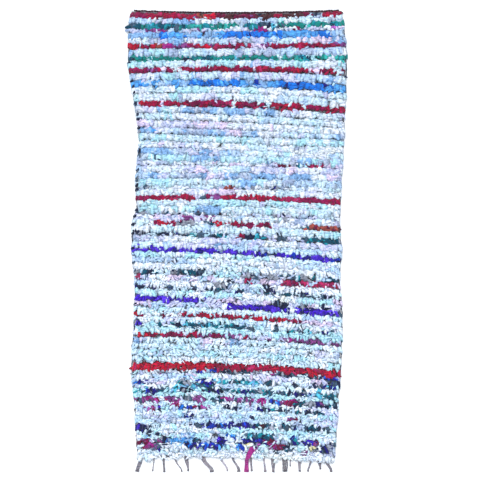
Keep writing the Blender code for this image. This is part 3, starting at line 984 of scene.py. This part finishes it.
def makeFringe():
    laid, fibres, colours, fibreColours = [], [], [], []
    points, along = yarnShape[0], np.clip(yarnShape[0][:, 1], 0, 1)
    fibreShape = modelFray()
    for root, end, rootWidth, endWidth, bow, short, light in fringeBunches:
        count = max(1, round(max(rootWidth, endWidth) / fringe["yarnWidth"]))
        for number in range(count):
            place = (number + 0.5) / count - 0.5
            offsets = [place * (wide - 0.6 * fringe["yarnWidth"]) for wide in (rootWidth, endWidth)]
            path = fringePath(root, end, bow, short + chance.uniform(0, 0.003), *offsets)
            width = fringe["yarnWidth"] * chance.uniform(0.85, 1.12)
            laid.append(layYarn(yarnShape, path, (width, width, 0.9 * width)))
            shade = light * chance.uniform(*fringe["shades"])
            body, tip = toLinear(fringe["colour"]) * shade, toLinear(fringe["tipColour"]) * shade
            share = np.clip((along - 0.72) / 0.28, 0, 1)[:, None]
            colours.append(body * (1 - share) + tip * share)
            for fibre in range(fringe["frays"]):
                spread = chance.normal(0, fringe["fraySpread"])
                length = fringe["frayLength"] * chance.uniform(0.5, 1)
                start = path[-2] + (chance.normal(0, 0.0008), 0.002, 0)
                tipPlace = start + (length * math.sin(spread), -length * math.cos(spread), 0)
                tipPlace[1] = max(tipPlace[1], fringeLow[1] - fringe["stray"] - 0.0005)
                tipPlace[2] = chance.uniform(*fringe["frayHeight"])
                middle = 0.5 * (start + tipPlace)
                fibres.append(layYarn(fibreShape, (start, middle, tipPlace), fringe["frayWidths"]))
                fibreColours.append(np.repeat(tip[None, :] * 1.1, len(fibreShape[0]), axis=0))
    batches = [
        (yarnShape, np.array(laid), np.array(colours), np.tile((0.014, 0.08), (len(laid), 1))),
        (fibreShape, np.array(fibres), np.array(fibreColours), np.tile((0.003, 0.01), (len(fibres), 1))),
    ]
    piece = joinCopies("warpEnds", batches)
    material = clothMaterial("warpYarn", 0.95, 0.2, 900, 0.0003)
    return finishPiece(piece, material, "warp_fringe")


# one long rag strip hangs over the end among the warp ends: its middle, its height and its width
hangingRag = {
    "path": ((0.084, -1.016, 0.0185, 0.034), (0.062, -1.050, 0.0230, 0.028), (0.048, -1.079, 0.0210, 0.021),
             (0.0455, -1.098, 0.0062, 0.020), (0.0445, -1.1490, 0.0028, 0.024)),
    "thickness": 0.0026,
    "fold": 0.0034,
    "dye": "fuchsia",
    # the darker dye at the strip's root is painted shade
    "shadedRootDye": "magenta",
}


def makeHangingRag():
    deselectAll()
    bpy.ops.mesh.primitive_grid_add(x_subdivisions=6, y_subdivisions=26, size=1, location=(0, 0, 0))
    strip = bpy.context.object
    strip.name = "hangingRag"
    path = np.array(hangingRag["path"])
    steps = np.linspace(0, 1, len(path))
    for vert in strip.data.vertices:
        along, across = 0.5 - vert.co.y, vert.co.x
        x, y, height, wide = (np.interp(along, steps, path[:, column]) for column in range(4))
        slope = np.interp(along + 0.02, steps, path[:, 0]) - np.interp(along - 0.02, steps, path[:, 0])
        fall = np.interp(along + 0.02, steps, path[:, 1]) - np.interp(along - 0.02, steps, path[:, 1])
        length = math.hypot(slope, fall)
        wide = wide * (0.95 + 0.07 * math.sin(21 * along))
        fold = hangingRag["fold"] * math.cos(2.6 * math.pi * across) * (0.5 + 0.5 * math.sin(12 * along + 1))
        vert.co = (x - across * wide * fall / length, y + across * wide * slope / length, height + abs(fold))
    thickenPiece(strip, hangingRag["thickness"])
    mesh = strip.data
    for vert in mesh.vertices:
        vert.co.z = max(vert.co.z, 0.0004)
    shadeSmooth(mesh)
    weave = mesh.uv_layers[0]
    weave.name = "weave"
    for loop in mesh.loops:
        place = mesh.vertices[loop.vertex_index].co
        weave.data[loop.index].uv = (place.x, place.y)
    places = np.array([vert.co[:] for vert in mesh.vertices])
    # painted shade: the dye is darker towards the strip's root and in streaks along its length, to give it
    # the look of folds
    down = np.clip((path[0, 1] - places[:, 1:2]) / (path[0, 1] - path[-1, 1]), 0, 1)
    paintedFoldShade = 1 + 0.20 * np.sin(430 * places[:, :1] + 45 * places[:, 1:2])
    endDye, shadedRootDye = (toLinear(dyes[hangingRag[name]]) for name in ("dye", "shadedRootDye"))
    addDyes(mesh, (endDye * down + shadedRootDye * (1 - down)) * paintedFoldShade)
    material = clothMaterial("hangingRagCloth", 0.8, 0.2, 700, 0.0005)
    return finishPiece(strip, material, "warp_fringe")


fringePieces = [makeFringe(), makeHangingRag()]
print("fringe done")


# Selvedges, the cord along the plain end, and dark ends that stick out at the sides, which along the left
# side are partly painted shadow

selvedge = {
    "cordWidth": 0.0062,
    "inset": 0.0045,
    "height": 0.0046,
    "lengths": 30,
    "endLengths": 16,
    "pathSteps": 8,  # for each length
    "colour": (92, 92, 102),
    "shades": (0.7, 1.1),
    "endCordWidth": 0.0095,
    "endCordHeight": 0.0160,
    "endColour": (58, 26, 34),
    "endShades": (0.8, 1.15),
}


def layCord(path, lengths, width, colour, shades):
    # a long cord of lengths of yarn end to end, each of its own shade
    laid, colours = [], []
    for number in range(lengths):
        first = number * (len(path) - 1) // lengths
        last = (number + 1) * (len(path) - 1) // lengths
        laid.append(layYarn(yarnShape, path[first:last + 1], (width, width)))
        shade = toLinear(colour) * chance.uniform(*shades)
        colours.append(np.repeat(shade[None, :], len(yarnShape[0]), axis=0))
    return laid, colours


def makeSelvedges():
    cords = []
    for across in (0, 1):
        rows = np.linspace(-0.35, lastEdge - 0.3, selvedge["lengths"] * selvedge["pathSteps"] + 1)
        x, y = onRug(rows, across + 0 * rows, selvedge["inset"] + 0.002 * ripple(rows, 2.6, 90 + across))
        path = np.stack([x, y, selvedge["height"] + 0 * x], axis=-1)
        cords.append(layCord(path, selvedge["lengths"], selvedge["cordWidth"], selvedge["colour"],
                             selvedge["shades"]))
    share = np.linspace(0.012, 0.988, selvedge["endLengths"] * selvedge["pathSteps"] + 1)
    x, y = onRug(-0.40 + 0 * share, share)
    height = selvedge["endCordHeight"] + 0.001 * ripple(x, 0.06, 78)
    path = np.stack([x, y + 0.001 * ripple(x, 0.05, 77), height], axis=-1)
    cords.append(layCord(path, selvedge["endLengths"], selvedge["endCordWidth"], selvedge["endColour"],
                         selvedge["endShades"]))
    laid, colours = (np.concatenate(parts) for parts in zip(*cords))
    piece = joinCopies("selvedges", [(yarnShape, laid, colours, np.tile((0.02, 0.07), (len(laid), 1)))])
    return finishPiece(piece, clothMaterial("selvedgeYarn", 0.95, 0.15, 900, 0.0004), "rug_pile")


# rag ends that stick out: side (-1 left, 1 right), from the plain end, how far out, height, width, dye; the
# many ink and slate ones along the left side are partly real dark ends and partly a painted shadow along that
# side
edgeEndsAndShadow = (
    (-1, 0.083, 0.019, 0.016, 0.018, "darkTeal"), (-1, 0.098, 0.018, 0.015, 0.016, "greyBlue"),
    (-1, 0.262, 0.005, 0.020, 0.014, "ink"), (-1, 0.352, 0.003, 0.020, 0.014, "ink"),
    (-1, 0.378, 0.002, 0.020, 0.013, "ink"), (-1, 0.408, 0.003, 0.020, 0.015, "ink"),
    (-1, 0.462, 0.003, 0.020, 0.026, "ink"), (-1, 0.497, 0.002, 0.020, 0.016, "ink"),
    (-1, 0.540, 0.003, 0.020, 0.018, "ink"), (-1, 0.562, 0.002, 0.009, 0.010, "grey"),
    (-1, 0.584, 0.003, 0.020, 0.014, "ink"), (-1, 0.696, 0.003, 0.020, 0.022, "ink"),
    (-1, 0.790, 0.003, 0.020, 0.018, "ink"), (-1, 1.020, 0.004, 0.020, 0.014, "ink"),
    (-1, 1.062, 0.004, 0.020, 0.015, "ink"), (-1, 1.661, 0.004, 0.020, 0.014, "ink"),
    (-1, 1.775, 0.010, 0.012, 0.013, "red"), (-1, 1.800, 0.004, 0.020, 0.014, "ink"),
    (-1, 2.060, 0.002, 0.009, 0.010, "navy"), (-1, 2.110, 0.002, 0.009, 0.010, "maroon"),
    (-1, 0.520, 0.002, 0.020, 0.020, "ink"), (-1, 0.603, 0.003, 0.020, 0.014, "grey"),
    (-1, 0.722, 0.002, 0.020, 0.020, "slate"), (-1, 0.845, 0.002, 0.020, 0.018, "slate"),
    (-1, 0.868, 0.002, 0.020, 0.020, "ink"), (-1, 0.890, 0.003, 0.020, 0.020, "ink"),
    (-1, 0.990, 0.003, 0.020, 0.015, "ink"), (-1, 1.105, 0.002, 0.020, 0.015, "ink"),
    (-1, 1.180, 0.002, 0.020, 0.015, "ink"), (-1, 1.205, 0.002, 0.020, 0.014, "slate"),
    (-1, 1.250, 0.003, 0.020, 0.018, "slate"), (-1, 1.355, 0.003, 0.020, 0.016, "slate"),
    (-1, 1.458, 0.003, 0.020, 0.016, "ink"),
    (1, 0.010, 0.008, 0.010, 0.012, "brown"), (1, 0.330, 0.003, 0.017, 0.011, "ink"),
    (1, 0.775, 0.004, 0.017, 0.010, "ink"), (1, 1.085, 0.006, 0.010, 0.012, "maroon"),
    (1, 1.230, 0.003, 0.009, 0.010, "navy"), (1, 1.335, 0.002, 0.017, 0.010, "ink"),
    (1, 1.440, 0.002, 0.017, 0.010, "ink"), (1, 1.640, 0.003, 0.009, 0.010, "darkTeal"),
    (1, 1.815, 0.004, 0.010, 0.011, "red"), (1, 1.965, 0.002, 0.017, 0.010, "ink"),
)


def turnFaces(shape):
    # the same shape with its faces turned over
    points, faces, corners = shape
    starts = np.cumsum([0] + [len(face) for face in faces])
    corners = [corners[start:end][::-1] for start, end in zip(starts[:-1], starts[1:])]
    return points, [tuple(reversed(face)) for face in faces], np.concatenate(corners)


edgeEnd = {
    "tucked": 0.015,  # how much of its length lies inside the side
    "thickness": 0.0042,
    "droop": 0.55,
    "shades": (0.85, 1.1),
}


def makeEdgeEnds():
    shape = ragShapes[2]
    across, along, through = shape[0][:, 0], shape[0][:, 1], shape[0][:, 2]
    laid, names = [], []
    for side, fromEnd, out, height, width, dye in edgeEndsAndShadow:
        sideX = side * np.interp(fromEnd, sides[:, 0], sides[:, 1 if side < 0 else 2])
        x = sideX + side * (out - (edgeEnd["tucked"] + out) * (1 - along))
        y = plainEndY - fromEnd - 0.004 * along + across * width
        z = height * (1 - edgeEnd["droop"] * along**2) + through * edgeEnd["thickness"]
        laid.append(np.stack([x, y, np.maximum(z, 0.0005)], axis=-1))
        names.append(dye)
    points = np.array(laid)
    colours = dyeColours(names, chance.uniform(*edgeEnd["shades"], len(laid)), points.shape[1])
    size = np.tile((0.026, 0.03), (len(laid), 1))
    # a strip laid to the right mirrors the model, so its faces are turned back
    leftSide = np.array([row[0] < 0 for row in edgeEndsAndShadow])
    batches = [(use, points[at], colours[at], size[at])
               for use, at in ((turnFaces(shape), ~leftSide), (shape, leftSide))]
    piece = joinCopies("edgeEndsAndShadow", batches)
    return finishPiece(piece, clothMaterial("edgeEndCloth", 0.9, 0.1, 700, 0.0004), "rug_pile")


edgePieces = [makeSelvedges(), makeEdgeEnds()]
print("selvedges done")


# Loose threads that lie on the pile: dye, then across the rug and from the plain end at three places

looseThreads = (
    ("ink", -0.240, 1.618, -0.214, 1.650, -0.196, 1.664),
    ("slate", 0.330, 1.672, 0.352, 1.700, 0.362, 1.730),
    ("grey", -0.205, 2.172, -0.182, 2.186, -0.160, 2.178),
    ("ink", -0.030, 1.040, -0.024, 1.062, -0.027, 1.086),
    ("white", 0.278, 0.840, 0.305, 0.862, 0.330, 0.890),
    ("slate", -0.170, 0.350, -0.150, 0.372, -0.140, 0.380),
    ("slate", 0.180, 0.930, 0.200, 0.948, 0.228, 0.952),
    ("ink", 0.020, 1.290, 0.041, 1.310, 0.050, 1.330),
    ("white", -0.330, 1.330, -0.300, 1.352, -0.280, 1.360),
    ("lavender", 0.400, 1.560, 0.372, 1.580, 0.350, 1.604),
)
looseThread = {
    "width": 0.0022,
    "height": 0.0262,
}


def makeLooseThreads():
    laid, names = [], []
    for dye, *places in looseThreads:
        controls = [(x, plainEndY - fromEnd, looseThread["height"] - 0.002 * (number != 1))
                    for number, (x, fromEnd) in enumerate(zip(places[::2], places[1::2]))]
        laid.append(layYarn(yarnShape, curvePath(controls), (looseThread["width"],) * 2))
        names.append(dye)
    colours = dyeColours(names, np.ones(len(names)), len(yarnShape[0]))
    size = np.tile((0.007, 0.06), (len(laid), 1))
    piece = joinCopies("looseThreads", [(yarnShape, np.array(laid), colours, size)])
    return finishPiece(piece, clothMaterial("looseThreadYarn", 0.9, 0.2, 900, 0.0002), "rug_pile")


edgePieces.append(makeLooseThreads())
print("loose threads done")


# Ground

ground = {
    "inset": 0.010,
    "bottom": 0.0014,
    "thickness": 0.0024,
    "columns": 40,
    "lines": 110,
    "patchScale": 35,
    "patches": ((0.35, (0.16, 0.17, 0.20)), (0.65, (0.42, 0.43, 0.46))),
    "weftScale": 210,
    "warpScale": 105,
    "relief": 0.0008,
}


def groundMaterial():
    material, tree, shader = newMaterial("groundWeave", 0.95, 0.1)
    place = addNode(tree, "TexCoord", {}).outputs["Object"]
    patch = addNode(tree, "TexNoise", {"Vector": place, "Scale": ground["patchScale"]}).outputs["Fac"]
    tree.links.new(addRamp(tree, patch, ground["patches"]), shader.inputs["Base Color"])
    weft, warp = (addNode(tree, "TexWave", {"Vector": place, "Scale": scale, "Distortion": 1.2},
                          bands_direction=direction).outputs["Fac"]
                  for direction, scale in (("Y", ground["weftScale"]), ("X", ground["warpScale"])))
    relief = addNode(tree, "Math", {0: weft, 1: warp}, operation="MAXIMUM").outputs["Value"]
    bump = addNode(tree, "Bump", {"Height": relief, "Distance": ground["relief"]})
    tree.links.new(bump.outputs["Normal"], shader.inputs["Normal"])
    return material


def makeGround():
    deselectAll()
    bpy.ops.mesh.primitive_grid_add(
        x_subdivisions=ground["columns"], y_subdivisions=ground["lines"], size=1, location=(0, 0, 0))
    piece = bpy.context.object
    piece.name = "wovenGround"
    for vert in piece.data.vertices:
        row = -0.4 + (0.5 - vert.co.y) * (lastEdge + 0.35)
        x, y = onRug(row, vert.co.x + 0.5, ground["inset"])
        vert.co = (x, y, ground["bottom"] + ground["thickness"])
    thickenPiece(piece, ground["thickness"])
    return finishPiece(piece, groundMaterial(), "rug_pile")


groundCloth = makeGround()
print("ground done")


# Floor, light and camera

studio = {
    "floorColour": (0.86, 0.87, 0.88, 1),
    "sunStrength": 1.90,
    "sunHeight": 52,  # degrees above the floor
    "sunTurn": 18,  # degrees to the left of the plain end
    "sunAngle": 30,
    "sky": (0.86, 0.92, 1.0),
    "skyStrength": 1.24,
    "lens": 85,
    "viewWide": 2.378,
    "viewCentre": (0.0124, 0.0037),
    "pileTop": 0.018,
}


def makeStudio():
    deselectAll()
    bpy.ops.mesh.primitive_plane_add(size=14, location=(0, 0, 0))
    floor = bpy.context.object
    floor.name = "floor"
    paint = bpy.data.materials.new("paleFloor")
    paint.use_nodes = True
    paint.node_tree.nodes["Principled BSDF"].inputs["Base Color"].default_value = studio["floorColour"]
    paint.node_tree.nodes["Principled BSDF"].inputs["Roughness"].default_value = 0.9
    floor.data.materials.append(paint)
    sun = bpy.data.objects.new("sun", bpy.data.lights.new("sun", "SUN"))
    sun.data.energy = studio["sunStrength"]
    sun.data.angle = math.radians(studio["sunAngle"])
    sun.rotation_euler = (math.radians(studio["sunHeight"] - 90), 0, math.radians(studio["sunTurn"]))
    bpy.context.scene.collection.objects.link(sun)
    world = bpy.data.worlds.new("studio")
    world.use_nodes = True
    sky = world.node_tree.nodes["Background"]
    sky.inputs["Color"].default_value = (*studio["sky"], 1)
    sky.inputs["Strength"].default_value = studio["skyStrength"]
    bpy.context.scene.world = world
    lens = bpy.data.cameras.new("overhead")
    lens.lens = studio["lens"]
    camera = bpy.data.objects.new("overhead", lens)
    away = studio["viewWide"] * studio["lens"] / lens.sensor_width
    camera.location = (*studio["viewCentre"], away + studio["pileTop"])
    lens.clip_end = 50
    bpy.context.scene.collection.objects.link(camera)
    bpy.context.scene.camera = camera
    bpy.context.scene.view_settings.view_transform = "Standard"


makeStudio()
print("studio done")
